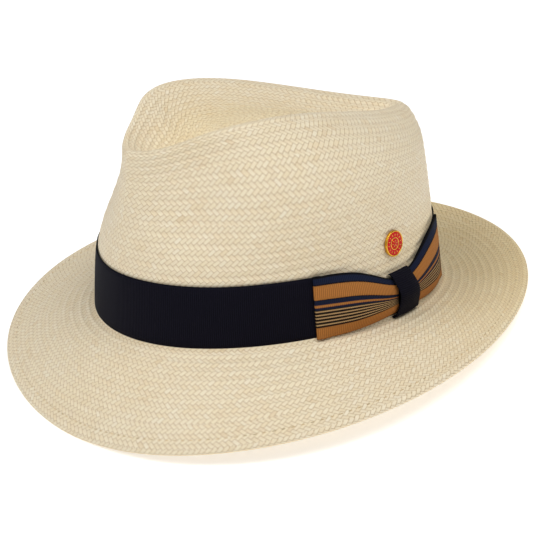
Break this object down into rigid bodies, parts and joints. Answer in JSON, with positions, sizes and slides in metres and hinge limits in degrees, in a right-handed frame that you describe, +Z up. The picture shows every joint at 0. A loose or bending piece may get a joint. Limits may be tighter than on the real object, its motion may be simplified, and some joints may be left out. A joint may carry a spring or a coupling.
{
  "type": "fedora hat",
  "caption": "Woven straw fedora with a teardrop crown, snap brim, dark grosgrain hatband with a striped side bow, leather sweatband and a round enamel pin.",
  "frame": {"origin": "centre of the hat's box in plan, on the table that the brim rests on", "axes": "+Z up from the table, the hat's front towards -Y, the wearer's left (the bow's side) towards +X; the head opening is tipped 5.85 degrees nose up about X, as the hat lies on a table"},
  "size_m": [0.2898, 0.3, 0.1433],
  "materials": {
    "straw": "matt woven palm straw, natural cream",
    "navy_grosgrain": "ribbed grosgrain, near-black navy",
    "striped_ribbon": "ribbed grosgrain, camel with navy and black stripes",
    "dark_thread": "sewing thread, navy",
    "straw_thread": "sewing thread, natural",
    "sweatband_leather": "smooth tan leather",
    "reed_plastic": "off-white reed",
    "label_cloth": "woven cotton label, blank",
    "pin_brass": "polished",
    "red_enamel": "hard glossy enamel",
    "spring_steel": "bright wire"
  },
  "bodies": {
    "hat": {"straw_body": "straw", "brim_wire": "spring_steel", "brim_hem_thread": "straw_thread", "hatband": "navy_grosgrain", "hatband_tack_front": "dark_thread", "hatband_tack_right": "dark_thread", "hatband_tack_left": "dark_thread", "hatband_tack_rear": "dark_thread", "bow_front_loop": "striped_ribbon", "bow_rear_loop": "striped_ribbon", "bow_knot": "navy_grosgrain", "sweatband": "sweatband_leather", "sweatband_reed": "reed_plastic", "sweatband_thread": "straw_thread", "sweatband_rear_tape": "sweatband_leather", "sweatband_rear_bow": "navy_grosgrain", "size_label": "label_cloth"},
    "badge": {"badge_base": "pin_brass", "badge_enamel_ring": "red_enamel", "badge_enamel_centre": "red_enamel"},
    "clutch": {"clutch_shell": "pin_brass", "clutch_spring": "spring_steel"}
  },
  "joints": [
    {"name": "badge_spin", "type": "hinge", "parent": "hat", "child": "badge", "pos_m": [0.07764, 0.03008, 0.06045], "axis": [0.9679, 0.2402, 0.0743], "continuous": true},
    {"name": "clutch_slide", "type": "slide", "parent": "badge", "child": "clutch", "axis": [-0.9679, -0.2402, -0.0743], "range_m": [0, 0.012]}
  ]
}
